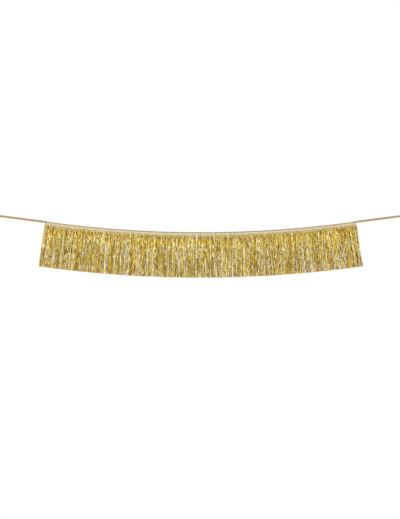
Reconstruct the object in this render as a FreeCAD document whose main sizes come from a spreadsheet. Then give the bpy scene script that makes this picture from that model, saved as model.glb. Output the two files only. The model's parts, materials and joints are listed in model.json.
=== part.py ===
"""Gold tinsel fringe garland on a flat ribbon, as a parametric document.

Millimetres, +Z up. The origin is the centre of the left hook. The garland runs along +X to the
right hook and faces -Y. Between its ends the fringe sags as one circular arc, so each piece along
it is a short profile turned about the centre of that circle, high above the garland.
"""
import FreeCAD, Part
import math
import os
import re
import Sketcher

# ---- Driving dimensions ---------------------------------------------------------------------
SIZES = {
    "fringe_length": 1830,     # along the ribbon's top edge
    "fringe_drop": 267,        # from the ribbon's top edge to the cut ends of the strands
    "end_slope": 7.94,         # degrees, of the sagging ribbon at the fringe's ends
    "tail_slope": 7.35,        # degrees, of the taut tails
    "tail_length": 292,        # flat ribbon from the knot to the fringe's end
    "ribbon_width": 12,
    "ribbon_thickness": 0.5,
    "fold_clearance": 0.5,     # between the ribbon's fold and the heading inside it
    "film_thickness": 1.2,     # all plies of foil, pressed together in the heading
    "tape_thickness": 0.4,     # of each heading tape
    "heading_height": 15,
    "thread_thickness": 0.5,   # how far the stitching stands out of the binding
    "thread_width": 0.7,
    "stitch_inset": 1.5,       # from the binding's lower edge up to the stitching
    "stitch_clearance": 1,     # between the stitching and each end tack
    "tack_length": 9,          # of whipped thread along the ribbon
    "tack_thickness": 1,
    "tack_overhang": 2.5,      # of the tack below the binding's lower edge
    "hank_count": 20,
    "hank_gap": 0.6,           # between neighbouring hanks of strands
    "bend_drop": 1.5,          # from the heading's lower edge to the line where strands bend
    "layer_start": 0.5,        # from that line to the top of a strand layer
    "layer_gap": 0.4,          # between the front and the back layer
    "layer_root": 0.6,         # thickness of a layer at its top
    "layer_thickness": 3,
    "layer_flare": 20,         # height in which a layer fills out to its whole thickness
    "knot_length": 16,
    "knot_radius": 6.5,
    "knot_rounding": 2.5,      # of the knot's two ends
    "knot_gap": 0.6,           # between a knot and the tail that turns beside it
    "hook_radius": 4,          # of the hook that a hanging loop goes round
    "loop_reach": 42,          # from the hook's centre to the knot
    "loop_pinch": 0.3,         # half the gap between the loop's two legs at the knot
}

doc = FreeCAD.newDocument("TinselGarland")
sheet = doc.addObject("Spreadsheet::Sheet", "Sizes")
for row, (alias, number) in enumerate(SIZES.items(), start=1):
    sheet.set(f"A{row}", alias)
    sheet.set(f"B{row}", str(number))
    sheet.setAlias(f"B{row}", alias)
doc.recompute()

# ---- Places worked out from them, as expressions of the sheet's aliases ---------------------
RADIUS = "(fringe_length * 90 / pi / end_slope)"      # of the arc that the ribbon's top edge makes
LEG = "(ribbon_width / 2)"                            # depth of the folded ribbon's two legs
TAIL_DEPTH = "(ribbon_width / 4)"                     # of the tail's centre line, at the fringe
HEADING_TOP = "(ribbon_thickness + fold_clearance)"
HEADING_FOOT = f"({HEADING_TOP} + heading_height)"
LAYER_TOP = f"({HEADING_FOOT} + bend_drop + layer_start)"
FILM_FACE = "(film_thickness / 2)"
TAPE_FACE = f"({FILM_FACE} + tape_thickness)"
RIBBON_FACE = f"({TAPE_FACE} + ribbon_thickness)"
TAIL_START = "(loop_reach + knot_length + knot_gap)"  # distance from the hook's centre
TAIL_END = f"({TAIL_START} + tail_length)"
ARC_CENTRE_X = f"({TAIL_END} * cos(tail_slope) + ({RADIUS} + {TAIL_DEPTH}) * sin(end_slope))"
ARC_CENTRE_Z = f"(({RADIUS} + {TAIL_DEPTH}) * cos(end_slope) - {TAIL_END} * sin(tail_slope))"


def bind(thing, target, expression):
    """Bind a property or a constraint to an expression, with each alias read from the sheet."""
    aliases = "|".join(SIZES)
    thing.setExpression(target, re.sub(rf"\b({aliases})\b", r"Sizes.\1", expression))


def new_body(label, x, z, turn):
    """A body at (x, 0, z), turned about +Y."""
    body = doc.addObject("PartDesign::Body", label)
    body.Label = label
    bind(body, "Placement", f"placement(vector({x}; 0; {z}); rotation(vector(0; 1; 0); {turn}))")
    return body


def new_sketch(body, role):
    """An empty sketch on one of the body's own origin planes."""
    sketch = body.newObject("Sketcher::SketchObject", body.Label + "_outline")
    plane = next(item for item in body.Origin.OriginFeatures if item.Role == role)
    sketch.AttachmentSupport = (plane, [""])
    sketch.MapMode = "FlatFace"
    return sketch


def place(sketch, kind, edge, end, expression, drawn=1.0):
    """Fix how far one end of a sketch's edge is from the body's origin, one way. The distance it is
    drawn at only keeps the sketch in shape until the expression is read."""
    number = sketch.addConstraint(Sketcher.Constraint(kind, -1, 1, edge, end, drawn))
    bind(sketch, f"Constraints[{number}]", expression)


def place_point(sketch, edge, end, across, up):
    """Fix one end of a sketch's edge at (across, up) from the body's origin."""
    place(sketch, "DistanceX", edge, end, across)
    place(sketch, "DistanceY", edge, end, up)


def join(sketch, edge, end, other, other_end):
    sketch.addConstraint(Sketcher.Constraint("Coincident", edge, end, other, other_end))


def polygon(sketch, corners):
    """A closed outline with a straight side from each corner to the next."""
    count = len(corners)
    spots = [FreeCAD.Vector(math.cos(2 * math.pi * i / count), math.sin(2 * math.pi * i / count))
             for i in range(count)]
    for i in range(count):
        sketch.addGeometry(Part.LineSegment(spots[i], spots[(i + 1) % count]))
    for i, (across, up) in enumerate(corners):
        join(sketch, i, 2, (i + 1) % count, 1)
        place_point(sketch, i, 1, across, up)


def pad(body, sketch, width):
    """The sketch made solid to the same distance on both sides of its plane."""
    feature = body.newObject("PartDesign::Pad", body.Label + "_pad")
    feature.Profile = sketch
    feature.Midplane = True
    bind(feature, "Length", width)


def revolve(body, sketch, angle):
    """The sketch turned about its horizontal axis, half the angle to each side."""
    feature = body.newObject("PartDesign::Revolution", body.Label + "_revolution")
    feature.Profile = sketch
    feature.ReferenceAxis = (sketch, ["H_Axis"])
    feature.Midplane = True
    bind(feature, "Angle", angle)
    return feature


# ---- Pieces along the sagging arc -----------------------------------------------------------
def arc_piece(label, corners, angle="2 * end_slope", turn="0"):
    """A profile of (distance behind the middle, depth below the ribbon's top edge), turned along the
    arc. A positive turn moves it to the left."""
    body = new_body(label, ARC_CENTRE_X, ARC_CENTRE_Z, turn)
    sketch = new_sketch(body, "YZ_Plane")
    polygon(sketch, [(behind, f"-({RADIUS} + {depth})") for behind, depth in corners])
    revolve(body, sketch, angle)
    return body


def strip(near, far, top, foot, side=1):
    """The corners of a rectangle, behind the middle (side 1) or in front of it (side -1)."""
    return [(f"{side} * {near}", top), (f"{side} * {far}", top),
            (f"{side} * {far}", foot), (f"{side} * {near}", foot)]


def saddle(inner, outer, inner_top, outer_top, foot):
    """The corners of an upside-down U."""
    return [(f"-{outer}", outer_top), (outer, outer_top), (outer, foot), (inner, foot),
            (inner, inner_top), (f"-{inner}", inner_top), (f"-{inner}", foot), (f"-{outer}", foot)]


def make_binding():
    """The ribbon folded lengthwise over the heading."""
    return [arc_piece("binding_ribbon", saddle(TAPE_FACE, RIBBON_FACE, "ribbon_thickness", "0", LEG))]


def make_heading():
    """The unslit top of the foil, with a tape on each face."""
    film = [(f"-{FILM_FACE}", HEADING_TOP), (FILM_FACE, HEADING_TOP),
            (FILM_FACE, HEADING_FOOT), (f"-{FILM_FACE}", HEADING_FOOT)]
    bodies = [arc_piece("film_heading", film)]
    for label, side in (("front_heading_tape", -1), ("back_heading_tape", 1)):
        bodies.append(arc_piece(label, strip(FILM_FACE, TAPE_FACE, HEADING_TOP, HEADING_FOOT, side)))
    return bodies


def make_stitching():
    """The line of thread on each face of the binding, from one end tack to the other."""
    foot = f"({LEG} - stitch_inset)"
    top = f"({foot} - thread_width)"
    outer = f"({RIBBON_FACE} + thread_thickness)"
    angle = f"(fringe_length - 2 * tack_length - 2 * stitch_clearance) / {RADIUS} * 180 / pi"
    return [arc_piece(label, strip(RIBBON_FACE, outer, top, foot, side), angle)
            for label, side in (("front_stitching", -1), ("back_stitching", 1))]


def make_end_tacks():
    """Thread whipped over each end of the binding, as a saddle on it."""
    outer = f"({RIBBON_FACE} + tack_thickness)"
    corners = saddle(RIBBON_FACE, outer, "0", "(-tack_thickness)", f"({LEG} + tack_overhang)")
    angle = f"(tack_length / {RADIUS} * 180 / pi)"
    return [arc_piece(label, corners, angle, f"{side} * (end_slope - {angle} / 2)")
            for label, side in (("left_end_tack", 1), ("right_end_tack", -1))]


def make_strand_layer(label, side, number):
    """One hank's strands on one side: a soft slab, thin where it bends under the heading. Its sides
    are parallel, so that it never leaves the room between its neighbours when it swings."""
    turn = f"end_slope * (1 - (2 * {number} - 1) / hank_count)"
    body = new_body(label, ARC_CENTRE_X, ARC_CENTRE_Z, turn)
    sketch = new_sketch(body, "YZ_Plane")
    inner = "(layer_gap / 2)"
    corners = [(inner, LAYER_TOP), (f"({inner} + layer_root)", LAYER_TOP),
               (f"({inner} + layer_thickness)", f"({LAYER_TOP} + layer_flare)"),
               (f"({inner} + layer_thickness)", "fringe_drop"), (inner, "fringe_drop")]
    polygon(sketch, [(f"{side} * {behind}", f"-({RADIUS} + {depth})") for behind, depth in corners])
    pad(body, sketch, f"2 * ({RADIUS} + {LAYER_TOP}) * tan(end_slope / hank_count) - hank_gap")
    return body


def make_strands():
    """Hanks of strands, numbered from the left, each with a front and a back layer."""
    count = int(sheet.get("hank_count"))
    return [make_strand_layer(f"{name}_strands_{number:02d}", side, number)
            for number in range(1, count + 1) for name, side in (("front", -1), ("back", 1))]


# ---- Tails, knots and hanging loops ---------------------------------------------------------
def hook_frame(side):
    """Where a hook is, and the turn about +Y that points +X from it along the taut tail."""
    return ("0", "tail_slope") if side == "left" else (f"(2 * {ARC_CENTRE_X})", "180 - tail_slope")


def make_tail(side):
    """One straight run of flat ribbon, cut at the fringe along the binding's own end."""
    x, turn = hook_frame(side)
    body = new_body(f"{side}_tail_ribbon", x, "0", turn)
    sketch = new_sketch(body, "XZ_Plane")
    lean = f"({LEG} * tan(end_slope - tail_slope))"
    sign = "+" if side == "left" else "-"
    other = "-" if side == "left" else "+"
    polygon(sketch, [(TAIL_START, f"-{LEG}"), (f"{TAIL_END} {other} {lean}", f"-{LEG}"),
                     (f"{TAIL_END} {sign} {lean}", LEG), (TAIL_START, LEG)])
    pad(body, sketch, "ribbon_thickness")
    return body


def make_knot(side):
    """A pulled-tight knot: a barrel about the tail's line, with rounded ends."""
    x, turn = hook_frame(side)
    body = new_body(f"{side}_knot", x, "0", turn)
    sketch = new_sketch(body, "XZ_Plane")
    far = "(loop_reach + knot_length)"
    polygon(sketch, [("loop_reach", "0"), (far, "0"), (far, "knot_radius"),
                     ("loop_reach", "knot_radius")])
    barrel = revolve(body, sketch, "360")
    doc.recompute()
    rims = [f"Edge{number}" for number, edge in enumerate(barrel.Shape.Edges, start=1)
            if isinstance(edge.Curve, Part.Circle)]
    rounding = body.newObject("PartDesign::Fillet", body.Label + "_rounding")
    rounding.Base = (barrel, rims)
    bind(rounding, "Radius", "knot_rounding")
    return body


def make_loop(side):
    """The ribbon from the knot round the hook and back, seen edge on: two straight legs that are
    tangent to an arc of the hook's own size. The ribbon's width lies along the hook."""
    x, turn = hook_frame(side)
    body = new_body(f"{side}_loop", x, "0", turn)
    sketch = new_sketch(body, "XZ_Plane")
    inner, outer = SIZES["hook_radius"], SIZES["hook_radius"] + SIZES["ribbon_thickness"]
    reach = SIZES["loop_reach"]
    axis = FreeCAD.Vector(0, 0, 1)
    for radius in (inner, outer):
        circle = Part.Circle(FreeCAD.Vector(0, 0), axis, radius)
        sketch.addGeometry(Part.ArcOfCircle(circle, math.pi / 2, 3 * math.pi / 2))
    pinch = SIZES["loop_pinch"]
    for up in (1, -1):
        near = FreeCAD.Vector(reach, pinch * up)
        far = FreeCAD.Vector(reach, (pinch + outer - inner) * up)
        sketch.addGeometry(Part.LineSegment(FreeCAD.Vector(0, inner * up), near))
        sketch.addGeometry(Part.LineSegment(near, far))
        sketch.addGeometry(Part.LineSegment(far, FreeCAD.Vector(0, outer * up)))
    for arc, radius in ((0, "hook_radius"), (1, "hook_radius + ribbon_thickness")):
        join(sketch, arc, 3, -1, 1)
        number = sketch.addConstraint(Sketcher.Constraint("Radius", arc, (inner, outer)[arc]))
        bind(sketch, f"Constraints[{number}]", radius)
    for first, end, up in ((2, 1, 1), (5, 2, -1)):
        sketch.addConstraint(Sketcher.Constraint("Tangent", 0, end, first, 1))
        sketch.addConstraint(Sketcher.Constraint("Tangent", 1, end, first + 2, 2))
        join(sketch, first, 2, first + 1, 1)
        join(sketch, first + 1, 2, first + 2, 1)
        sketch.addConstraint(Sketcher.Constraint("Perpendicular", first, first + 1))
        sketch.addConstraint(Sketcher.Constraint("Perpendicular", first + 1, first + 2))
        place(sketch, "DistanceY", first, 2, f"{up} * loop_pinch", up * pinch)
        place(sketch, "DistanceX", first + 1, 2, "loop_reach", reach)
    pad(body, sketch, "ribbon_width")
    return body


# ---- Build, check and write -----------------------------------------------------------------
parts = make_binding() + make_heading() + make_stitching() + make_end_tacks() + make_strands()
for side in ("left", "right"):
    parts += [make_tail(side), make_knot(side), make_loop(side)]
doc.recompute()

for thing in doc.Objects:
    if "Invalid" in thing.State or "Error" in thing.State:
        raise RuntimeError(f"{thing.Label} failed: {thing.State}")
for part in parts:
    if part.Shape.isNull() or not part.Shape.isValid() or part.Shape.Volume <= 0:
        raise RuntimeError(f"{part.Label} has no valid solid")

os.makedirs("parts", exist_ok=True)
for part in parts:
    part.Shape.exportStep(f"parts/{part.Label}.step")

size = {alias: float(sheet.get(alias)) for alias in SIZES}
section = size["ribbon_width"] * size["ribbon_thickness"]
for part in parts:
    if part.Label.endswith("_tail_ribbon"):
        share = part.Shape.Volume / (section * size["tail_length"])
        print(f"{part.Label}: one straight run of {size['tail_length']:.0f} mm, with no bend; "
              f"its volume is {share:.4f} of section times length")
print(f"hanging loops: inner radius {size['hook_radius']:.1f} mm round the hook, with straight legs")
print(f"{len(parts)} pieces, sag radius {size['fringe_length'] * 90 / math.pi / size['end_slope']:.1f}")
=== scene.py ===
# %% [markdown]
# # A gold fringe garland on a satin ribbon
# Twenty hanks of crinkled foil strands hang from a taped heading, and the heading is sewn into a folded
# satin ribbon. The ribbon runs on past both ends of the fringe as two tails, and each tail ends in a
# knotted loop over a hook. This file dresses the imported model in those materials, piece by piece.
# Every shape is worked out with numpy as a whole array of points, so one idea (a strip that follows a
# line) makes the ribbon, the tapes, the loops and, many times over, the strands.

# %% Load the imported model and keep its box
import json
import math

import bpy
import numpy as np
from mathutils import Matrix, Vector

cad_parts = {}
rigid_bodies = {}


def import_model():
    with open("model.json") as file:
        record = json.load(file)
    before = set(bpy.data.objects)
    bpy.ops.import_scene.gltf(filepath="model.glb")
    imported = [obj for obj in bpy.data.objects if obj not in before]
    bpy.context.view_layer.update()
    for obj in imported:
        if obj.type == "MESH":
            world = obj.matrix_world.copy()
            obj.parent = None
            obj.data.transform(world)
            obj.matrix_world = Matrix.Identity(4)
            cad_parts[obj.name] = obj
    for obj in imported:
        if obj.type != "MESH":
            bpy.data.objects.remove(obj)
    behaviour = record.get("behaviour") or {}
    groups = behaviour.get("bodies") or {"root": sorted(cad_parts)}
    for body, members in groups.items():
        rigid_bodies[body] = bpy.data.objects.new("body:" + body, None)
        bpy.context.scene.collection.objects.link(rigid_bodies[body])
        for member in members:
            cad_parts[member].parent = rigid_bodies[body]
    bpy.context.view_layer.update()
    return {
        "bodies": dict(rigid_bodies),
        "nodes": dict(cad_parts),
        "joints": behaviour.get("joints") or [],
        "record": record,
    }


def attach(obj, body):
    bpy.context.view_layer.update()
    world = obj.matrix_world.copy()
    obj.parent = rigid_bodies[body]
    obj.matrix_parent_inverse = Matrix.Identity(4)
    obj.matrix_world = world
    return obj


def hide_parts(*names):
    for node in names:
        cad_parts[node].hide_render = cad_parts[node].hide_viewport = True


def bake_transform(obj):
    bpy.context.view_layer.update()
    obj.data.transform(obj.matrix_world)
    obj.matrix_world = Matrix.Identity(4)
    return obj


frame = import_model()
MM = 0.001

# %% [markdown]
# ## The arc that everything hangs along
# The fringe sags between its tails as a long, flat arc. A part of a circle is close enough to a sagging
# ribbon when the sag is this small. The hinges of the first and last hank lie on that circle, and their
# axes are its tangents, so the circle is worked out from them and needs no number of its own.

# %% Find the arc from the hinges
HINGE_DEPTH = 17.5 * MM  # the hinge line lies this far under the ribbon's top edge
swings = {joint["child"]: joint for joint in frame["joints"]}
hank_names = sorted(name for name in frame["bodies"] if name.startswith("hank_"))
first_swing = swings[hank_names[0]]
last_swing = swings[hank_names[-1]]
last_tilt = math.atan2(last_swing["axis"][2], last_swing["axis"][0])
hank_angle = 2 * last_tilt / (len(hank_names) - 1)
end_tilt = last_tilt + hank_angle / 2
hinge_radius = (last_swing["pos_m"][0] - first_swing["pos_m"][0]) / (2 * math.sin(last_tilt))
TOP_RADIUS = hinge_radius - HINGE_DEPTH
CENTRE_X = (first_swing["pos_m"][0] + last_swing["pos_m"][0]) / 2
CENTRE_Z = last_swing["pos_m"][2] + hinge_radius * math.cos(last_tilt)
HALF_LENGTH = TOP_RADIUS * end_tilt
BACKWARD = np.array([0.0, 1.0, 0.0])  # out of the garland's plane at its back
FACES = (("front", -1), ("back", 1))  # and which way each one looks, along BACKWARD
print(f"arc radius {TOP_RADIUS:.4f} m, half length {HALF_LENGTH:.4f} m")


# %% Points on the arc
def together(*coordinates):
    """Arrays stretched to one shape and stacked as the coordinates of points."""
    return np.stack(np.broadcast_arrays(*coordinates), axis=-1)


def unit(vectors):
    """Each vector divided by its length."""
    return vectors / np.linalg.norm(vectors, axis=-1, keepdims=True)


def on_arc(along, depth, out):
    """Points hung along the arc. In words: turn by the distance along, divided by the radius, go down
    from the centre by the radius and the depth, and step out of the garland's plane."""
    turn = along / TOP_RADIUS
    reach = TOP_RADIUS + depth
    return together(CENTRE_X + reach * np.sin(turn), out, CENTRE_Z - reach * np.cos(turn))


left_end = on_arc(-HALF_LENGTH, 0.0, 0.0)
print("left end of the ribbon's top edge:", left_end.round(4))

# %% [markdown]
# ## Camera, light and floor
# The garland is seen square from the front, from far enough off that both ends look alike, so the lens is
# a long one. Foil shows only what it reflects. Most of its light comes from a pale dome all round, a
# little brighter above and on the left, so no facet goes black. Four wide, weak lamps add glints: one
# each side of the camera, one overhead and one behind. Past the garland the camera sees plain white.

# %% Camera
LENS = 85.0
SENSOR = 36.0
FRAME_WIDE, FRAME_HIGH = 400, 519
VIEW_WIDTH = 2.3505  # metres across that the view takes in, in the plane of the garland
AIM_BELOW_RIBBON = 160.6 * MM  # the aim is this far under the lowest point of the ribbon's top edge
CAMERA_TO_LEFT = 2.3 * MM  # of the garland's middle

view_height = VIEW_WIDTH * FRAME_HIGH / FRAME_WIDE
camera_distance = view_height * LENS / SENSOR
aim = on_arc(0.0, AIM_BELOW_RIBBON, 0.0)
camera_data = bpy.data.cameras.new("camera")
camera_data.lens = LENS
camera_data.sensor_width = SENSOR
camera = bpy.data.objects.new("camera", camera_data)
camera.location = (aim[0] - CAMERA_TO_LEFT, aim[1] - camera_distance, aim[2])
camera.rotation_euler = (math.radians(90), 0, 0)
bpy.context.scene.collection.objects.link(camera)
bpy.context.scene.camera = camera
print(f"camera {camera_distance:.2f} m from the garland")


# %% Lamps
def soft_lamp(name, place, size, power):
    """A square lamp of the given width that faces the middle of the garland."""
    lamp = bpy.data.lights.new(name, "AREA")
    lamp.shape = "SQUARE"
    lamp.size = size
    lamp.energy = power
    holder = bpy.data.objects.new(name, lamp)
    holder.location = (aim[0] + place[0], aim[1] + place[1], aim[2] + place[2])
    holder.rotation_euler = Vector(place).to_track_quat("Z", "Y").to_euler()
    bpy.context.scene.collection.objects.link(holder)
    return holder


soft_lamp("left_lamp", (-3.2, -3.6, 1.4), 2.0, 24)
soft_lamp("right_lamp", (3.4, -3.2, 0.9), 1.6, 12)
soft_lamp("overhead_lamp", (0.3, -1.2, 3.4), 2.2, 16)
soft_lamp("back_lamp", (-1.0, 3.8, 1.6), 2.4, 16)

# %% Node helpers
def add_node(tree, kind, **settings):
    """A node with its settings, such as operation, and its inputs by name or number, such as in_Scale."""
    made = tree.nodes.new(kind)
    for name, value in settings.items():
        if name.startswith("in_"):
            key = name[3:].replace("_", " ")
            made.inputs[int(key) if key.isdigit() else key].default_value = value
        else:
            setattr(made, name, value)
    return made


def arithmetic(tree, operation, first, second=None):
    """A Math node whose inputs are links or plain numbers."""
    made = add_node(tree, "ShaderNodeMath", operation=operation)
    for socket, value in zip(made.inputs, (first, second)):
        if isinstance(value, (int, float)):
            socket.default_value = value
        elif value is not None:
            tree.links.new(value, socket)
    return made.outputs[0]


def add_share(tree, total, value, share):
    """A total plus a share of a value, as two Math nodes."""
    return arithmetic(tree, "ADD", total, arithmetic(tree, "MULTIPLY", value, share))


def scale_colour(tree, colour, factor):
    """A colour multiplied by a number that changes over the surface."""
    made = add_node(tree, "ShaderNodeVectorMath", operation="SCALE")
    tree.links.new(colour, made.inputs[0])
    tree.links.new(factor, made.inputs["Scale"])
    return made.outputs[0]


# %% Surroundings: white to the camera, a soft dome to the foil
# The dome's light in a direction is its middle value plus the dot product of that direction and its lean.
DOME_MIDDLE = 0.98
DOME_LEAN = (-0.2, -0.05, 0.2)
bpy.context.scene.view_settings.view_transform = "Standard"
world = bpy.data.worlds.new("studio")
bpy.context.scene.world = world
world.use_nodes = True
sky = world.node_tree
sky.nodes.clear()
white = add_node(sky, "ShaderNodeBackground", in_Color=(1, 1, 1, 1))
dome = add_node(sky, "ShaderNodeBackground", in_Color=(1, 1, 1, 1))
toward = add_node(sky, "ShaderNodeTexCoord")
leaning = add_node(sky, "ShaderNodeVectorMath", operation="DOT_PRODUCT", in_1=DOME_LEAN)
rays = add_node(sky, "ShaderNodeLightPath")
either = add_node(sky, "ShaderNodeMixShader")
sky_out = add_node(sky, "ShaderNodeOutputWorld")
sky.links.new(toward.outputs["Generated"], leaning.inputs[0])
dome_light = arithmetic(sky, "ADD", leaning.outputs["Value"], DOME_MIDDLE)
sky.links.new(dome_light, dome.inputs["Strength"])
sky.links.new(rays.outputs["Is Camera Ray"], either.inputs["Fac"])
sky.links.new(dome.outputs[0], either.inputs[1])
sky.links.new(white.outputs[0], either.inputs[2])
sky.links.new(either.outputs[0], sky_out.inputs["Surface"])
print("dome light:", DOME_MIDDLE, "leaning", DOME_LEAN)

# %% [markdown]
# ## Meshes from arrays
# Two builders make every piece. A shell is a thin closed solid between two matching grids of points, as a
# ribbon or a tape is. A bundle of tubes is many closed tubes at once, each a stack of rings, as threads
# and foil strands are. Both carry a map in millimetres, along and across the piece, so that weave and
# crinkle come out at their real scale. Faces are put in order by the sign of the volume they enclose.

# %% Builders: faces that point outwards
def facing_out(points, polygons, maps):
    """Turns every face round if the closed shape's volume comes out negative. The volume is a sixth of
    the sum of the triple products of the corners of each triangle."""
    volume = 0.0
    for corners in polygons:
        p = points[corners]
        for k in range(1, corners.shape[1] - 1):
            volume += np.einsum("ij,ij->", p[:, 0], np.cross(p[:, k], p[:, k + 1]))
    if volume < 0:
        polygons = [corners[:, ::-1] for corners in polygons]
        maps = [places[:, ::-1] for places in maps]
    return points, polygons, maps


def cells(number):
    """The four corner numbers of every cell of a grid of point numbers."""
    sides = [number[:-1, :-1], number[:-1, 1:], number[1:, 1:], number[1:, :-1]]
    return np.stack(sides, axis=-1).reshape(-1, 4)


def shell(front, back, places):
    """A thin closed solid: two grids of points, (rows, columns, 3), and walls joining their edges.
    places gives the map, (rows, columns, 2), in millimetres along and across."""
    rows, columns = front.shape[:2]
    count = rows * columns
    points = np.concatenate([front.reshape(-1, 3), back.reshape(-1, 3)])
    number = np.arange(count).reshape(rows, columns)
    edge = np.concatenate([number[0], number[1:, -1], number[-1, -2::-1], number[-2:0:-1, 0]])
    after = np.roll(edge, -1)
    walls = np.stack([after, edge, edge + count, after + count], axis=1)
    polygons = [np.concatenate([cells(number), cells(number + count)[:, ::-1], walls])]
    flat = np.concatenate([places.reshape(-1, 2)] * 2)
    return facing_out(points, polygons, [flat[polygons[0]]])


# %% Builders: many tubes at once
def tubes(rings, places, closed=False):
    """Tubes from rings of points, (copies, rings, sides, 3), each with two end faces or, when closed,
    joined end to end. places has one more column than rings has sides, and one more row when closed."""
    copies, rows, sides = rings.shape[:3]
    copy, row, side = np.indices((copies, rows if closed else rows - 1, sides)).reshape(3, -1, 1)
    corner_row = row + np.array([0, 0, 1, 1])
    corner_side = side + np.array([0, 1, 1, 0])
    quads = (copy * rows + corner_row % rows) * sides + corner_side % sides
    polygons = [quads]
    maps = [places[copy, corner_row, corner_side]]
    if not closed:
        start = np.arange(copies)[:, None] * rows * sides
        polygons += [start + np.arange(sides)[::-1], start + (rows - 1) * sides + np.arange(sides)]
        maps += [places[:, 0, :sides][:, ::-1], places[:, -1, :sides]]
    return facing_out(rings.reshape(-1, 3), polygons, maps)


# %% Builders: an object from its parts
def make_piece(name, parts, material, tones=None):
    """One object from several closed parts, with its map and, if given, a colour for every point."""
    points = np.concatenate([part[0] for part in parts])
    starts = np.cumsum([0] + [len(part[0]) for part in parts])
    faces = [corners + start for part, start in zip(parts, starts) for corners in part[1]]
    places = np.concatenate([m.reshape(-1, 2) for part in parts for m in part[2]])
    corners = np.concatenate([f.ravel() for f in faces])
    sizes = np.concatenate([np.full(len(f), f.shape[1]) for f in faces])
    mesh = bpy.data.meshes.new(name)
    mesh.vertices.add(len(points))
    mesh.vertices.foreach_set("co", points.astype(np.float32).ravel())
    mesh.loops.add(len(corners))
    mesh.loops.foreach_set("vertex_index", corners.astype(np.int32))
    mesh.polygons.add(len(sizes))
    mesh.polygons.foreach_set("loop_start", (np.cumsum(sizes) - sizes).astype(np.int32))
    mesh.update(calc_edges=True)
    mesh.uv_layers.new(name="strip").uv.foreach_set("vector", places.astype(np.float32).ravel())
    if tones is not None:
        layer = mesh.color_attributes.new("foil_tone", "FLOAT_COLOR", "POINT")
        layer.data.foreach_set("color", tones.astype(np.float32).ravel())
    mesh.validate()
    mesh.materials.append(material)
    piece = bpy.data.objects.new(name, mesh)
    bpy.context.scene.collection.objects.link(piece)
    print(f"{name}: {len(sizes)} faces")
    return piece


def shade_smooth(piece):
    """Smooth shading for cloth and thread, broken where two faces meet at a sharp angle."""
    piece.data.set_sharp_from_angle(angle=math.radians(40))


def shade_flat(piece):
    """Each face shaded by itself, for foil. A new mesh is smooth until it is told otherwise."""
    piece.data.polygons.foreach_set("use_smooth", np.zeros(len(piece.data.polygons), bool))


# %% Uneven hills and smooth steps
def waves(x, y, seed, count=9):
    """Smooth hills of about -1 to 1: a sum of sine waves of x and y, whose directions, lengths and starts
    are random. One unit of x or y is about the width of a hill."""
    random = np.random.default_rng(seed)
    total = 0.0
    for _ in range(count):
        turn, length, start = random.uniform(0, 2 * np.pi), random.uniform(1.5, 3.2), random.uniform(0, 7)
        total = total + np.sin(length * (x * np.cos(turn) + y * np.sin(turn)) + start)
    return total / math.sqrt(count / 2) / 1.6


def ease(x):
    """A smooth step from 0 to 1 as x goes from 0 to 1: three squares less two cubes."""
    x = np.clip(x, 0, 1)
    return x * x * (3 - 2 * x)


# %% [markdown]
# ## Finishes
# Three effects are shared: a crinkle of small facets for foil, a weave for ribbon and tape, and a twist
# for thread. Each is a node group that gives a colour, a roughness and a height. The shader itself stays
# in each material, with the numbers that are the same all over.

# %% A group and its ends
COLOUR, NUMBER, VECTOR = "NodeSocketColor", "NodeSocketFloat", "NodeSocketVector"


def new_group(name, inputs):
    """A shader node group that reads a place, and inputs that are colours or numbers, and gives a colour,
    a roughness and a height. Returns it with its two end nodes and the place's coordinates."""
    group = bpy.data.node_groups.new(name, "ShaderNodeTree")
    group.interface.new_socket("Place", in_out="INPUT", socket_type=VECTOR)
    for label, value in inputs.items():
        kind = COLOUR if isinstance(value, tuple) else NUMBER
        group.interface.new_socket(label, in_out="INPUT", socket_type=kind).default_value = value
    for label, kind in (("Color", COLOUR), ("Roughness", NUMBER), ("Height", NUMBER)):
        group.interface.new_socket(label, in_out="OUTPUT", socket_type=kind)
    group_in, group_out = add_node(group, "NodeGroupInput"), add_node(group, "NodeGroupOutput")
    place = add_node(group, "ShaderNodeSeparateXYZ")
    group.links.new(group_in.outputs["Place"], place.inputs[0])
    return group, group_in, group_out, place.outputs


def give(group, group_out, **values):
    """Links what a group gives to its outputs, by name."""
    for label, value in values.items():
        group.links.new(value, group_out.inputs[label])
    print(f"{group.name}: {len(group.nodes)} nodes")


def mix_threads(tree, group_in, cover):
    """The shade colour where cover is 0, the thread colour where it is 1 and a mix between."""
    shading = add_node(tree, "ShaderNodeMix", data_type="RGBA")
    tree.links.new(cover, shading.inputs["Factor"])
    tree.links.new(group_in.outputs["Shade Color"], shading.inputs["A"])
    tree.links.new(group_in.outputs["Thread Color"], shading.inputs["B"])
    return shading.outputs["Result"]


# %% Foil crinkle: facets a few millimetres long with sharp folds between them
crinkle, crinkle_in, crinkle_out, place = new_group(
    "foil crinkle",
    {
        "Tone": (0.6, 0.45, 0.16, 1),
        "Facet Length": 7.0,
        "Facet Width": 2.4,
        "Dullness": 0.3,
        "Contrast": 0.5,
    },
)
facet_place = add_node(crinkle, "ShaderNodeCombineXYZ")
facet_along = arithmetic(crinkle, "DIVIDE", place["X"], crinkle_in.outputs["Facet Length"])
facet_across = arithmetic(crinkle, "DIVIDE", place["Y"], crinkle_in.outputs["Facet Width"])
crinkle.links.new(facet_along, facet_place.inputs["X"])
crinkle.links.new(facet_across, facet_place.inputs["Y"])
facets = add_node(crinkle, "ShaderNodeTexVoronoi", voronoi_dimensions="2D", in_Scale=1.0)
crinkle.links.new(facet_place.outputs[0], facets.inputs["Vector"])
facet_tilt = add_node(crinkle, "ShaderNodeSeparateColor")
crinkle.links.new(facets.outputs["Color"], facet_tilt.inputs[0])
scuffs = add_node(crinkle, "ShaderNodeTexNoise", in_Scale=2.6, in_Detail=3.0)
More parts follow.
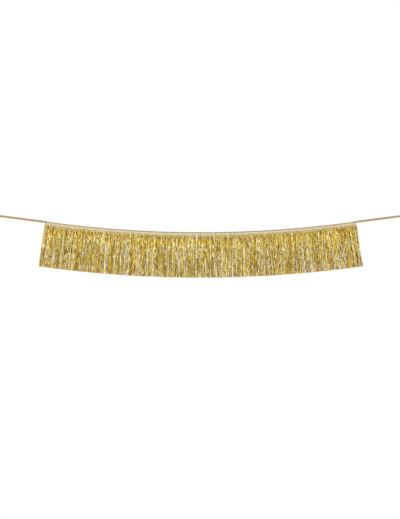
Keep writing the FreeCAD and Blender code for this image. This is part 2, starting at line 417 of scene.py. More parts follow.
crinkle.links.new(facet_place.outputs[0], scuffs.inputs["Vector"])
# Each facet's colour is scaled lighter or darker at random, as far as Contrast: painted light and shade for
# facets that face the light and facets that don't.
facet_light = arithmetic(crinkle, "SUBTRACT", facet_tilt.outputs[0], 0.5)
facet_light = add_share(crinkle, 1.0, facet_light, crinkle_in.outputs["Contrast"])
facet_colour = scale_colour(crinkle, crinkle_in.outputs["Tone"], facet_light)
dull = add_share(crinkle, crinkle_in.outputs["Dullness"], scuffs.outputs["Fac"], 0.3)
dull = arithmetic(crinkle, "SUBTRACT", dull, 0.15)
folds = add_share(crinkle, facets.outputs["Distance"], scuffs.outputs["Fac"], 0.35)
give(crinkle, crinkle_out, Color=facet_colour, Roughness=dull, Height=folds)

# %% Ribbon weave: fine ribs across the ribbon, threads along it and a firmer woven edge
weave, weave_in, weave_out, place = new_group(
    "ribbon weave",
    {
        "Thread Color": (0.5, 0.3, 0.15, 1),
        "Shade Color": (0.3, 0.17, 0.08, 1),
        "Rib Pitch": 0.6,
        "Thread Pitch": 0.45,
        "Half Width": 6.0,
        "Patchiness": 0.0,
        "Dullness": 0.4,
    },
)


def ripple(tree, distance, pitch):
    """Rounded ribs, 0 to 1, one for each pitch of the distance."""
    turns = arithmetic(tree, "DIVIDE", distance, pitch)
    wave = arithmetic(tree, "SINE", arithmetic(tree, "MULTIPLY", turns, 2 * math.pi))
    return arithmetic(tree, "MULTIPLY", arithmetic(tree, "ADD", wave, 1.0), 0.5)


ribs = ripple(weave, place["X"], weave_in.outputs["Rib Pitch"])
threads = ripple(weave, place["Y"], weave_in.outputs["Thread Pitch"])
slubs = add_node(weave, "ShaderNodeTexNoise", in_Scale=0.35, in_Detail=4.0)
stretch = add_node(weave, "ShaderNodeMapping", in_Scale=(0.25, 2.0, 1.0))
weave.links.new(weave_in.outputs["Place"], stretch.inputs["Vector"])
weave.links.new(stretch.outputs[0], slubs.inputs["Vector"])
from_middle = arithmetic(weave, "ABSOLUTE", place["Y"])
from_edge = arithmetic(weave, "SUBTRACT", weave_in.outputs["Half Width"], from_middle)
woven_edge = arithmetic(weave, "LESS_THAN", from_edge, 0.8)
# Ribs and threads mix in the shade colour in their grooves: painted shade. The slubs and the woven edge are
# the cloth's own.
cloth = arithmetic(weave, "MULTIPLY", ribs, 0.35)
cloth = add_share(weave, cloth, threads, 0.25)
cloth = add_share(weave, cloth, slubs.outputs["Fac"], 0.8)
cloth = add_share(weave, cloth, woven_edge, -0.25)
# Broad patches of the shade colour, as strong as Patchiness: painted shade of small folds in the tape.
patches = add_node(weave, "ShaderNodeTexNoise", in_Scale=1.0, in_Detail=2.0)
patch_place = add_node(weave, "ShaderNodeMapping", in_Scale=(0.12, 0.02, 1.0))
weave.links.new(weave_in.outputs["Place"], patch_place.inputs["Vector"])
weave.links.new(patch_place.outputs[0], patches.inputs["Vector"])
patch = arithmetic(weave, "SUBTRACT", patches.outputs["Fac"], 0.5)
cloth = add_share(weave, cloth, patch, weave_in.outputs["Patchiness"])
cloth_colour = mix_threads(weave, weave_in, cloth)
dull = add_share(weave, weave_in.outputs["Dullness"], slubs.outputs["Fac"], 0.25)
height = add_share(weave, arithmetic(weave, "ADD", ribs, threads), woven_edge, 0.8)
give(weave, weave_out, Color=cloth_colour, Roughness=dull, Height=height)

# %% Thread twist: plies that wind round the thread
twist, twist_in, twist_out, place = new_group(
    "thread twist",
    {
        "Thread Color": (0.3, 0.2, 0.1, 1),
        "Shade Color": (0.1, 0.06, 0.03, 1),
        "Twist Pitch": 1.2,
        "Dullness": 0.55,
    },
)
slanted = arithmetic(twist, "ADD", place["X"], place["Y"])
plies = ripple(twist, slanted, twist_in.outputs["Twist Pitch"])
fibres = add_node(twist, "ShaderNodeTexNoise", in_Scale=3.0, in_Detail=3.0)
twist.links.new(twist_in.outputs["Place"], fibres.inputs["Vector"])
# The plies mix in the shade colour in the grooves between them: painted shade. The fibre noise is the
# thread's own.
cover = arithmetic(twist, "MULTIPLY", plies, 0.6)
cover = add_share(twist, cover, fibres.outputs["Fac"], 0.5)
thread_colour = mix_threads(twist, twist_in, cover)
dull = add_share(twist, twist_in.outputs["Dullness"], fibres.outputs["Fac"], 0.3)
give(twist, twist_out, Color=thread_colour, Roughness=dull, Height=plies)


# %% One material from a group and a shader
def make_material(name, group, group_inputs, shader_inputs, bump_distance, tone=None):
    """A Principled shader whose colour, roughness and bump come from one group, which reads the piece's
    own map, and whose other sockets are set here. tone names a colour attribute that feeds Tone."""
    material = bpy.data.materials.new(name)
    material.use_nodes = True
    tree = material.node_tree
    tree.nodes.clear()
    output = tree.nodes.new("ShaderNodeOutputMaterial")
    shader = tree.nodes.new("ShaderNodeBsdfPrincipled")
    effect = add_node(tree, "ShaderNodeGroup", node_tree=group)
    strip = add_node(tree, "ShaderNodeUVMap", uv_map="strip")
    bump = add_node(tree, "ShaderNodeBump", in_Distance=bump_distance, in_Strength=1.0)
    for label, value in group_inputs.items():
        effect.inputs[label].default_value = value
    for label, value in shader_inputs.items():
        shader.inputs[label].default_value = value
    if tone:
        colours = add_node(tree, "ShaderNodeAttribute", attribute_name=tone)
        tree.links.new(colours.outputs["Color"], effect.inputs["Tone"])
    tree.links.new(strip.outputs[0], effect.inputs["Place"])
    tree.links.new(effect.outputs["Color"], shader.inputs["Base Color"])
    tree.links.new(effect.outputs["Roughness"], shader.inputs["Roughness"])
    tree.links.new(effect.outputs["Height"], bump.inputs["Height"])
    tree.links.new(bump.outputs["Normal"], shader.inputs["Normal"])
    tree.links.new(shader.outputs[0], output.inputs["Surface"])
    return material


# %% Foil and ribbon
foil_strand = make_material(
    "foil strand",
    crinkle,
    {"Facet Length": 6.0, "Facet Width": 2.2, "Dullness": 0.3, "Contrast": 0.8},
    {"Metallic": 1.0},
    0.0003,
    tone="foil_tone",
)
foil_film = make_material(
    "foil film",
    crinkle,
    {"Tone": (0.62, 0.47, 0.17, 1), "Facet Length": 9.0, "Facet Width": 5.0, "Dullness": 0.25},
    {"Metallic": 0.85},
    0.0002,
)
satin = make_material(
    "satin ribbon",
    weave,
    {
        "Thread Color": (0.465, 0.28, 0.112, 1),
        "Shade Color": (0.27, 0.145, 0.052, 1),
        "Dullness": 0.32,
    },
    {"Sheen Weight": 0.12, "Sheen Roughness": 0.4},
    0.00008,
)
tape = make_material(
    "heading tape",
    weave,
    {
        "Thread Color": (0.72, 0.65, 0.52, 1),
        "Shade Color": (0.38, 0.29, 0.11, 1),
        "Patchiness": 3.2,
        "Rib Pitch": 3.8,
        "Thread Pitch": 0.9,
        "Half Width": 7.5,
        "Dullness": 0.3,
    },
    {"Sheen Weight": 0.1},
    0.0001,
)
print("foil and ribbon:", [m.name for m in (foil_strand, foil_film, satin, tape)])

# %% Threads
sewing_thread = make_material(
    "sewing thread",
    twist,
    {"Thread Color": (0.58, 0.38, 0.20, 1), "Shade Color": (0.30, 0.17, 0.08, 1), "Twist Pitch": 0.5},
    {"Sheen Weight": 0.2},
    0.00006,
)
# The tack thread's very dark colour also stands for the shadow in the pinch where the ribbon gathers:
# painted shade.
tack_thread_and_shade = make_material(
    "tack thread and shade",
    twist,
    {"Thread Color": (0.22, 0.09, 0.04, 1), "Shade Color": (0.09, 0.035, 0.018, 1), "Twist Pitch": 0.8},
    {"Sheen Weight": 0.05},
    0.00012,
)
print("threads:", sewing_thread.name, "and", tack_thread_and_shade.name)

# %% [markdown]
# ## The tails
# Each tail is the open ribbon, 12 mm wide, drawn tight between its knot and the end of the fringe, so its
# line has only a point at each end and one between them. The ribbon is a thin strip laid along that line.
# Where it goes into the knot, and where it is folded over the heading, it narrows and cups.

# %% The line of a tail
RIBBON_WIDTH = 12.0 * MM
RIBBON_THICKNESS = 0.5 * MM
TAIL_DEPTH = 3.0 * MM  # the middle of the tail meets the fringe this far under the ribbon's top edge
hooks = {mount["name"]: np.array(mount["pos_m"]) for mount in frame["record"]["mounts"]}
knot_exits = {
    "left": np.array(swings["garland"]["pos_m"]),
    "right": np.array(swings["right_hanger"]["pos_m"]),
}
sides = {"left": -1, "right": 1}


def spline_points(route):
    """Points along the smooth line that a route of control points gives."""
    line = bpy.data.curves.new("route", "CURVE")
    line.dimensions = "3D"
    spline = line.splines.new("NURBS")
    spline.points.add(len(route) - 1)
    spline.points.foreach_set("co", np.insert(np.array(route), 3, 1.0, axis=1).ravel())
    spline.order_u = 3
    spline.use_endpoint_u = True
    spline.resolution_u = 24
    holder = bpy.data.objects.new("route", line)
    bpy.context.scene.collection.objects.link(holder)
    graph = bpy.context.evaluated_depsgraph_get()
    read = bpy.data.meshes.new_from_object(holder.evaluated_get(graph))
    points = np.zeros(len(read.vertices) * 3)
    read.vertices.foreach_get("co", points)
    bpy.data.meshes.remove(read)
    bpy.data.curves.remove(line)
    return points.reshape(-1, 3)


def tail_route(side):
    """From the end of the fringe to where the tail leaves the knot."""
    fringe_end = on_arc(sides[side] * HALF_LENGTH, TAIL_DEPTH, 0.0)
    knot_end = knot_exits[side]
    middle = (fringe_end + knot_end) / 2
    return [fringe_end, middle, knot_end]


# %% The tail ribbons
GATHER_AT_FRINGE = 14.0 * MM  # the ribbon gathers over this length before the tack
GATHER_AT_KNOT = 16.0 * MM
NARROWER_AT_FRINGE = 0.28  # share of its width that it loses there
NARROWER_AT_KNOT = 0.45
INTO_TACK, INTO_KNOT = 1.0 * MM, 5.0 * MM  # how far the ribbon runs on, out of sight
CUP_AT_FRINGE, CUP_AT_KNOT, CUP_BETWEEN = 0.5 * MM, 2.2 * MM, 0.18 * MM
PLEAT_AT_FRINGE, PLEAT_AT_KNOT = 0.35 * MM, 0.5 * MM
TAIL_LEAN = 0.25 * MM  # its edges lie this far in front or behind, unevenly
tail_pieces = {}
tail_paths = {}
for side in sides:
    path = spline_points(tail_route(side))
    tail_paths[side] = path
    run = np.linalg.norm(path[-1] - path[0])
    along = np.linspace(-INTO_TACK, run + INTO_KNOT, 150)
    direction = unit(path[-1] - path[0])
    upright = np.cross(direction, BACKWARD)
    across = np.linspace(-1, 1, 17)
    held = 1 - ease(along / GATHER_AT_FRINGE)
    tied = 1 - ease((run - along) / GATHER_AT_KNOT)
    half = RIBBON_WIDTH / 2 * (1 - NARROWER_AT_FRINGE * held - NARROWER_AT_KNOT * tied)
    cup = CUP_AT_FRINGE * held + CUP_AT_KNOT * tied + CUP_BETWEEN
    pleats = PLEAT_AT_FRINGE * held + PLEAT_AT_KNOT * tied
    lean = TAIL_LEAN * waves(along / 0.05, 0 * along, 11 + sides[side])
    bow = cup[:, None] * (across**2 - 0.4) + lean[:, None] * across
    bow = bow + pleats[:, None] * np.cos(across * 3.5 * np.pi)
    middle = path[0] + along[:, None, None] * direction
    surface = middle + (half[:, None] * across)[..., None] * upright
    surface = surface + bow[..., None] * BACKWARD
    step = RIBBON_THICKNESS / 2 * BACKWARD
    places = together(along[:, None], across * RIBBON_WIDTH / 2) / MM
    piece = make_piece(f"{side}_ribbon_tail", [shell(surface - step, surface + step, places)], satin)
    shade_smooth(piece)
    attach(piece, "garland")
    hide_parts(f"{side}_tail_ribbon")
    tail_pieces[side] = piece
    print(f"{side} tail: {run:.4f} m long")

# %% [markdown]
# ## The loops
# Past each knot the ribbon runs on round the hook and back into the knot, so the loop is two layers near
# the knot and opens into a small eye at the hook. Seen along the hook it is a teardrop: an arc round the
# hook and two straight legs that touch it and meet at the knot. The ribbon lies flat on the hook, so its
# width runs along the hook.

# %% From a hook to its knot
def from_hook(side):
    """The hook's place, the distance and the direction from it to where the tail leaves the knot, and
    the direction square to that in the garland's plane."""
    hook = hooks[f"{side}_hook"]
    reach = knot_exits[side] - hook
    to_knot = unit(reach)
    return hook, np.linalg.norm(reach), to_knot, np.cross(to_knot, BACKWARD) * sides[side]


for side in sides:
    print(f"{side} hook to the knot's far end: {from_hook(side)[1]:.4f} m")

# %% The loop ribbons
HOOK_RADIUS = 4.0 * MM
LOOP_END = 45.0 * MM  # the legs end this far from the hook, inside the knot
LEG_APART = 0.45 * MM  # half the gap between the legs at the knot
GATHER_FROM = 26.0 * MM  # the legs gather from here to the knot
GATHER_OVER = 16.0 * MM
NARROWER_IN_LOOP = 0.4
LEG_SAG, LEG_SAG_END = 0.25 * MM, 30.0 * MM
LEG_CURL, CURL_AT_KNOT = 0.25 * MM, 0.9 * MM  # the knot's is added to the leg's
FLAT_AT_HOOK = 6.0 * MM  # no curl this near the hook
for side in sides:
    hook, _, to_knot, upward = from_hook(side)
    wrap_radius = HOOK_RADIUS + RIBBON_THICKNESS / 2 + 0.02 * MM
    touch = math.acos(wrap_radius / LOOP_END) + math.asin(LEG_APART / LOOP_END)
    turn = np.linspace(touch, 2 * np.pi - touch, 40)
    round_hook = np.stack([np.cos(turn), np.sin(turn)], axis=1) * wrap_radius
    share = np.linspace(1, 0, 36)[:-1, None]
    leg_out = np.array([LOOP_END, LEG_APART]) * share + round_hook[0] * (1 - share)
    leg_back = leg_out[::-1] * np.array([1, -1])
    line = np.concatenate([leg_out, round_hook, leg_back])
    ahead = unit(np.gradient(line, axis=0))
    square = np.stack([-ahead[:, 1], ahead[:, 0]], axis=1)
    across = np.linspace(-1, 1, 13)
    tied = ease((line[:, 0] - GATHER_FROM) / GATHER_OVER)
    half = RIBBON_WIDTH / 2 * (1 - NARROWER_IN_LOOP * tied)
    sag = LEG_SAG * np.sin(np.pi * np.clip(line[:, 0] / LEG_SAG_END, 0, 1))
    curl = -(LEG_CURL + CURL_AT_KNOT * tied)[:, None] * across**2
    curl = curl * (line[:, 0] > FLAT_AT_HOOK)[:, None]
    offset = sag[:, None] + curl
    lateral = line[:, None, :] + offset[..., None] * square[:, None, :]
    centre_line = hook + lateral[..., 0, None] * to_knot + lateral[..., 1, None] * upward
    surface = centre_line + (half[:, None] * across)[..., None] * BACKWARD
    step = square[:, 0, None] * to_knot + square[:, 1, None] * upward
    step = step[:, None, :] * RIBBON_THICKNESS / 2
    travelled = np.cumsum(np.linalg.norm(np.diff(line, axis=0, prepend=line[:1]), axis=1))
    places = together(travelled[:, None], across * RIBBON_WIDTH / 2) / MM
    piece = make_piece(f"{side}_ribbon_loop", [shell(surface - step, surface + step, places)], satin)
    shade_smooth(piece)
    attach(piece, f"{side}_hanger")
    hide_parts(f"{side}_loop")

# %% [markdown]
# ## The knots
# An overhand knot in a flat ribbon is a small tight bundle. Here it is a pleated barrel, the gathered
# ribbon, and two bands round it on opposite slants, one over the other at each crossing.

# %% The knot ribbons
KNOT_LENGTH = 16.0 * MM
BARREL_RADIUS = 4.6 * MM
BARREL_TAPER = 0.55  # share of the radius lost at each end
PLEATS, PLEAT_HEIGHT = 9, 0.35 * MM
BAND_RADIUS = 5.35 * MM
BAND_HALF_WIDTH = 4.3 * MM
BAND_SLANT = 2.6 * MM  # a band's middle wanders this far each way along the knot
BAND_THICKNESS = 0.6 * MM
BAND_RISE = 0.45 * MM  # where it passes over the other band
BAND_EDGE_DROP, BAND_RIPPLE = 0.55 * MM, 0.12 * MM


def around_knot(side, distance, turn, radius):
    """Points at a distance from the knot's middle along its axis, turned round it, at a radius from it."""
    distance, turn, radius = [grid[..., None] for grid in np.broadcast_arrays(distance, turn, radius)]
    hook, knot_far, to_knot, upward = from_hook(side)
    middle = hook + to_knot * (knot_far - KNOT_LENGTH / 2)
    return middle + distance * to_knot + radius * (np.cos(turn) * upward + np.sin(turn) * BACKWARD)


for side in sides:
    distance = np.linspace(-1, 1, 25)[:, None]
    turn = np.linspace(0, 2 * np.pi, 60, endpoint=False)
    barrel = BARREL_RADIUS * (1 - BARREL_TAPER * np.abs(distance) ** 2.4)
    pleat = PLEAT_HEIGHT * np.cos(PLEATS * turn + 2.0 * distance) * (0.35 + np.abs(distance))
    rings = around_knot(side, distance * KNOT_LENGTH / 2, turn, barrel + pleat)
    places = together(distance * KNOT_LENGTH / 2 / MM, np.linspace(-18, 18, 61))
    parts = [tubes(rings[None], places[None])]
    for over in (1.0, -1.0):
        turn = np.linspace(0, 2 * np.pi, 90)[:, None]
        across = np.linspace(-1, 1, 13)
        distance = BAND_HALF_WIDTH * across + BAND_SLANT * over * np.sin(turn)
        radius = BAND_RADIUS + BAND_RISE * over * np.cos(turn) - BAND_EDGE_DROP * across**4
        radius = radius + BAND_RIPPLE * np.cos(across * 9 + over)
        outer = around_knot(side, distance, turn, radius + BAND_THICKNESS / 2)
        inner = around_knot(side, distance, turn, radius - BAND_THICKNESS / 2)
        places = together(turn * 5.5, across * RIBBON_WIDTH / 2 / MM)
        parts.append(shell(outer, inner, places))
    piece = make_piece(f"{side}_ribbon_knot", parts, satin)
    shade_smooth(piece)
    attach(piece, f"{side}_hanger")
    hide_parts(f"{side}_knot")

for side, piece in tail_pieces.items():
    path = tail_paths[side]

# %% [markdown]
# ## The heading
# The strands are slit from sheets of foil film that stay whole along their top edge. The film edges are
# stacked and held between two pale tapes, which show as a band under the ribbon. The strips press
# through the tape as upright ribs. Each tape is a strip along the arc, whose face is pushed out by ribs
# one strand apart, and the film keeps its modelled shape with a foil finish.

# %% Tapes
HEADING_TOP = 1.0 * MM
HEADING_FOOT = 16.0 * MM
FILM_HALF = 0.6 * MM
TAPE_THICKNESS = 0.4 * MM
RIBBON_LEG = 6.0 * MM  # the folded ribbon covers the heading down to here
STRAND_PITCH = 3.8 * MM
RIB_HEIGHT = 0.4 * MM  # of the ribs that the strips press into the tape
EDGE_UNEVEN = 0.25 * MM
TAPE_ROWS = [HEADING_TOP, 3.5 * MM, RIBBON_LEG]  # hidden rows, then the ones that show
along = np.linspace(-HALF_LENGTH, HALF_LENGTH, 1831)[:, None]
depth = np.concatenate([TAPE_ROWS, np.linspace(6.6 * MM, HEADING_FOOT, 8)])[None, :]
for name, out in FACES:
    uncovered = ease((depth - RIBBON_LEG - 0.2 * MM) / (1.5 * MM))
    uneven = 2.5 * waves(along / 0.03, depth / 0.08, 21 + out)
    press = 0.5 + 0.5 * np.cos(2 * np.pi * along / STRAND_PITCH + uneven)
    press = press * (0.6 + 0.4 * waves(along / 0.012, depth / 0.05, 31 + out))
    face = FILM_HALF + TAPE_THICKNESS + RIB_HEIGHT * np.clip(press, 0, 1) * uncovered
    edge = depth + EDGE_UNEVEN * waves(along / 0.02, 0 * depth, 41 + out) * (depth >= HEADING_FOOT)
    outer = on_arc(along, edge, out * face)
    inner = on_arc(along, edge, out * (FILM_HALF + 0 * face))
    places = together(along, depth - (HEADING_TOP + HEADING_FOOT) / 2) / MM
    piece = make_piece(f"{name}_tape", [shell(outer, inner, places)], tape)
    shade_smooth(piece)
    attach(piece, "garland")
    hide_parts(f"{name}_heading_tape")

film = frame["nodes"]["film_heading"]
film.data.materials.clear()
film.data.materials.append(foil_film)

# %% [markdown]
# ## The folded ribbon
# The ribbon is folded in half along its length over the top of the heading and sewn through. Its section
# is a narrow U upside down: two legs and a round fold. The section is carried along the arc, and the legs
# lift a little between the stitches, as sewn ribbon does.

# %% Binding ribbon
INNER_HALF = 1.0 * MM
STITCH_PITCH = 3.8 * MM
STITCH_DEPTH = 4.15 * MM
along = np.linspace(-HALF_LENGTH, HALF_LENGTH, 916)[:, None]
fold = np.linspace(0, np.pi, 9)
fold_middle = INNER_HALF + RIBBON_THICKNESS


def folded(radius, legs=5):
    """The section of the folded ribbon at one distance from the middle of the fold: down the front leg,
    over the fold and down the back leg, as (out, depth)."""
    leg = np.linspace(RIBBON_LEG, fold_middle, legs, endpoint=False)
    front = np.stack([-radius + 0 * leg, leg], axis=1)
    top = np.stack([-radius * np.cos(fold), fold_middle - radius * np.sin(fold)], axis=1)
    back = np.stack([radius + 0 * leg, leg], axis=1)[::-1]
    return np.concatenate([front, top, back])


lift = 0.12 * MM * (1 + np.cos(2 * np.pi * along / STITCH_PITCH))
lift = lift + 0.1 * MM * waves(along / 0.02, 0 * along, 51)
grids = []
for radius in (INNER_HALF + RIBBON_THICKNESS, INNER_HALF):
    section = folded(radius)
    low = ease((section[:, 1] - STITCH_DEPTH) / (2.0 * MM))
    out = section[:, 0] + np.sign(section[:, 0]) * lift * low
    grids.append(on_arc(along, section[:, 1], out))
section = folded(INNER_HALF + RIBBON_THICKNESS / 2)
steps = np.linalg.norm(np.diff(section, axis=0, prepend=section[:1]), axis=1)
across = np.cumsum(steps) - steps.sum() / 2
places = together(along, across) / MM
binding = make_piece("folded_ribbon", [shell(grids[0], grids[1], places)], satin)
shade_smooth(binding)
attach(binding, "garland")
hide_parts("binding_ribbon")

# %% [markdown]
# ## Stitches and end tacks
# A row of machine stitches runs along both faces of the ribbon, each a short length of thread that dips
# into the cloth at its ends. At each end of the fringe, thread is wound over the edge in close turns,
# which stops the ribbon and heading from parting. Its near-black brown is partly the thread's own and
# partly painted shade of the pinch where the ribbon gathers. The turns are closed rings with squared
# corners.

# %% Stitches
STITCH_LENGTH = 3.0 * MM
THREAD_RADIUS = 0.27 * MM
STITCH_PROUD = 0.22 * MM  # of the ribbon's face, at the stitch's middle
STITCH_DIP = 0.42 * MM  # at its two ends
TACK_LENGTH = 9.0 * MM
stitch_count = int((2 * HALF_LENGTH - 2 * TACK_LENGTH - 4 * MM) / STITCH_PITCH)
middles = (np.arange(stitch_count) - (stitch_count - 1) / 2) * STITCH_PITCH
random = np.random.default_rng(5)
share = np.linspace(-1, 1, 7)
turn = np.linspace(0, 2 * np.pi, 6, endpoint=False)
for name, out in FACES:
    slip = random.normal(0, 0.1 * MM, (stitch_count, 1))
    lean = random.normal(0, 0.12 * MM, (stitch_count, 1))
    line_along = middles[:, None] + slip + share * STITCH_LENGTH / 2
    line_depth = STITCH_DEPTH + lean * share
    line_out = INNER_HALF + RIBBON_THICKNESS + STITCH_PROUD - STITCH_DIP * share**4
    line_out = line_out + 0 * line_along
    thick = THREAD_RADIUS * (1 - 0.35 * share**6)
    rings = on_arc(
        line_along[..., None],
        line_depth[..., None] + thick[:, None] * np.cos(turn),
        out * (line_out[..., None] + thick[:, None] * np.sin(turn)),
    )
    girth = np.linspace(0, 2 * np.pi * THREAD_RADIUS, len(turn) + 1) / MM
    places = together((line_along / MM)[..., None], girth)
    piece = make_piece(f"{name}_stitches", [tubes(rings, places)], sewing_thread)
    shade_smooth(piece)
    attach(piece, "garland")
    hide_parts(f"{name}_stitching")

# %% End tacks
TACK_TOP, TACK_FOOT, TACK_OUT = -0.45 * MM, 8.0 * MM, 2.0 * MM
TACK_THREAD = 0.5 * MM
TACK_TURNS = 10
lap = np.linspace(0, 2 * np.pi, 32, endpoint=False)
turn = np.linspace(0, 2 * np.pi, 8, endpoint=False)


def squared(angle):
    """A circle drawn out to a rounded square: sine and cosine keep their sign and take a root."""
    return [np.sign(f(angle)) * np.abs(f(angle)) ** 0.45 for f in (np.cos, np.sin)]


for side, sign in sides.items():
    starts = HALF_LENGTH - TACK_LENGTH * (np.arange(TACK_TURNS) + 0.5) / TACK_TURNS
    uneven = random.normal(0, 1, (TACK_TURNS, 3))
    y_share, d_share = squared(lap)
    line_out = (TACK_OUT + 0.12 * MM * uneven[:, :1]) * y_share
    tall = (TACK_FOOT - TACK_TOP) / 2
    line_depth = (TACK_TOP + TACK_FOOT) / 2 + (tall + 0.15 * MM * uneven[:, 1:2]) * d_share
    line_along = sign * (starts[:, None] + 0.3 * MM * uneven[:, 2:] * d_share)
    away = np.stack([line_out, line_depth - 3.8 * MM], axis=-1)
    ahead = np.roll(away, -1, axis=1) - np.roll(away, 1, axis=1)
    square = unit(np.stack([ahead[..., 1], -ahead[..., 0]], axis=-1))
    thick = TACK_THREAD * 1.02
    rings = on_arc(
        line_along[..., None] + thick * np.sin(turn),
        line_depth[..., None] + thick * np.cos(turn) * square[..., 1:2],
        line_out[..., None] + thick * np.cos(turn) * square[..., 0:1],
    )
    rows = np.arange(len(lap) + 1) * 0.65
    girth = np.linspace(0, 2 * np.pi * TACK_THREAD, len(turn) + 1) / MM
    places = np.broadcast_to(together(rows[:, None], girth), (TACK_TURNS, len(rows), len(girth), 2))
    piece = make_piece(f"{side}_tack", [tubes(rings, places, closed=True)], tack_thread_and_shade)
    shade_smooth(piece)
    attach(piece, "garland")
    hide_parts(f"{side}_end_tack")

# %% [markdown]
# ## The foil strands
# A strand is a strip of metallised film about 3 mm wide, slit from the film of the heading, so all strands
# start flat and side by side. Below the heading they spread into plies, twist and crinkle, and the ends
# are cut level. Each strand is a stack of three-cornered rings, a flat face with a slight crease behind,
# turned by its twist and shaded flat, so every stretch between two rings is a facet that glints by
# itself. Neighbours turn and wander together, which gives the pale and dark streaks, and each strand also
# has a little of its own. A hank keeps its sides parallel, and each ply leans a little its own way, so
# that no gap opens between hanks.

# %% Measures of the strands
STRANDS_IN_PLY = 24
PLIES = 3
STRANDS = STRANDS_IN_PLY * PLIES  # in one layer of a hank
RINGS = 20
STRAND_TOP = 15.6 * MM
STRAND_FOOT = 267.0 * MM
STRAND_WIDTH = 3.1 * MM
CREASE = 0.35 * MM
PLY_OUT = np.array([1.6, 4.5, 7.4]) * MM  # how far each ply stands from the middle once it has spread
PLY_AT_HEADING = np.array([0.12, 0.3, 0.48]) * MM
# the next two have a row for the front layer and a row for the back one
PLY_LEAN = np.array([[2.0, -1.6, 0.8], [-1.9, 1.5, -0.7]]) * MM
PLY_SHIFT = np.array([[0.0, 0.33, -0.33], [0.17, -0.17, 0.45]])  # in strand widths
END_LEAN = {hank_names[0]: -3.5 * MM, hank_names[-1]: 7.0 * MM}  # the two ends have room to splay
hank_width = hank_angle * hinge_radius
print(f"{2 * STRANDS * len(hank_names)} strands, {1000 * hank_width / STRANDS_IN_PLY:.2f} mm apart in a ply")

# %% What neighbouring strands share
# Uneven hills: how wide and how high they are, how many hills one ply's are shifted, and their seed
DRIFT_HILLS = (28 * MM, 110 * MM, 9, 61)
PUFF_HILLS = (30 * MM, 90 * MM, 5, 63)
TURN_HILLS = (20 * MM, 60 * MM, 7, 64)
TONE_HILLS = (20 * MM, 100 * MM, 3, 65)


def shared(hills, ply, world_along, depth, side=0):
    """Hills that run on from hank to hank, read at every ring of one side."""
    wide, high, shift, seed = hills
    return waves(world_along / wide + ply * shift, depth / high, seed + side)


# %% How deep each ring lies
CUT_UNEVEN = 1.0 * MM
SHORT_SHARE = 0.05  # this share of the strands is cut short
SHORT_BY = (2, 9)  # by this many millimetres
RING_UNEVEN = 0.018  # of a strand's length


def ring_depths(random):
    """The share of the way down and the depth of every ring. In words: even steps raised to a power, so
    rings lie closer near the heading, each moved a little, from the heading to the strand's own end."""
    cut = STRAND_FOOT + random.normal(0, CUT_UNEVEN, (STRANDS, 1))
    short = random.random((STRANDS, 1)) < SHORT_SHARE
    cut = cut - short * random.uniform(*SHORT_BY, (STRANDS, 1)) * MM
    share = np.linspace(0, 1, RINGS)[None, :] ** 1.25
    inside = np.minimum(share, 1 - share) > 0
    share = share + inside * random.uniform(-RING_UNEVEN, RING_UNEVEN, (STRANDS, RINGS)) * (share > 0.1)
    return share, STRAND_TOP + (cut - STRAND_TOP) * share


# %% Where each ring lies
FREE_BELOW_HEADING = 16 * MM  # strands may twist fully from here down
SPREAD_BELOW_HEADING = 80 * MM  # plies stand fully apart from here down
DRIFT = 1.7 * MM  # neighbours wander together by this much
WANDER = 0.32 * MM  # and each ring by this much on its own
PUFF = 0.9 * MM  # a ply stands out more in some places than in others
PUFF_WANDER = 0.3 * MM
STRAY_SHARE = 0.05  # this share of the outer ply's strands strays
STRAY_ASIDE, STRAY_OUT = 5 * MM, 1.4 * MM
STRAY_MIDDLE = 0.34  # only this part of a hank's width, each side of its middle, has strays


def below_heading(depth, distance):
    """Rises from 0 at the heading's foot to 1 at a distance below it."""
    return ease((depth - HEADING_FOOT) / distance)


def ring_middles(hank, side, ply, place, start, world_along, depth, seed, random):
    """How far each ring lies along the hank and out of the garland's plane. Along: its place in the
    heading, a lean that grows down the strand, a drift shared by neighbours and a wander of its own.
    Out: from its place in the heading to its ply's distance, with puffs shared by neighbours."""
    drift = shared(DRIFT_HILLS, ply, world_along, depth) * DRIFT
    stray = random.random((STRANDS, 1)) < STRAY_SHARE
    stray = stray * (ply == PLIES - 1) * (np.abs(start) < STRAY_MIDDLE * hank_width)
    own = random.normal(0, WANDER, (STRANDS, RINGS))
    own = own + stray * STRAY_ASIDE * waves(place * 3.1 + seed, depth / 0.07, 62)
    hanging = np.clip((depth - HINGE_DEPTH) / (STRAND_FOOT - HINGE_DEPTH), 0, 1)
    lean = PLY_LEAN[side][ply] * hanging
    outer = END_LEAN.get(hank, 0.0)
    lean = lean + outer * hanging * ease(0.5 + np.sign(outer) * start / hank_width)
    sideways = start + lean + (drift + own) * below_heading(depth, FREE_BELOW_HEADING)
    spread = below_heading(depth, SPREAD_BELOW_HEADING)
    puff = shared(PUFF_HILLS, ply, world_along, depth, side) * PUFF
    puff = puff + random.normal(0, PUFF_WANDER, (STRANDS, RINGS)) + stray * STRAY_OUT
    outward = PLY_AT_HEADING[ply] * (1 - spread) + (PLY_OUT[ply] + puff) * spread
    return sideways, outward


# %% How each ring is turned, in radians
SHARED_TURN = 0.25
START_TURN = 0.6
TWIST = 1.2  # by the strand's foot
CRINKLE = 0.48  # from ring to ring


def ring_turns(side, ply, world_along, depth, share, random):
    """A turn shared by neighbours, one for the whole strand, a twist that grows down it and a crinkle from
    ring to ring, all faded in below the heading. Half of the strands have their other face out."""
    turn = SHARED_TURN * shared(TURN_HILLS, ply, world_along, depth, side)
    turn = turn + random.normal(0, START_TURN, (STRANDS, 1))
    turn = turn + random.normal(0, TWIST, (STRANDS, 1)) * share
    turn = turn + random.normal(0, CRINKLE, (STRANDS, RINGS))
    turn = turn * below_heading(depth, FREE_BELOW_HEADING)
    return turn + np.pi * (random.random((STRANDS, 1)) < 0.5)
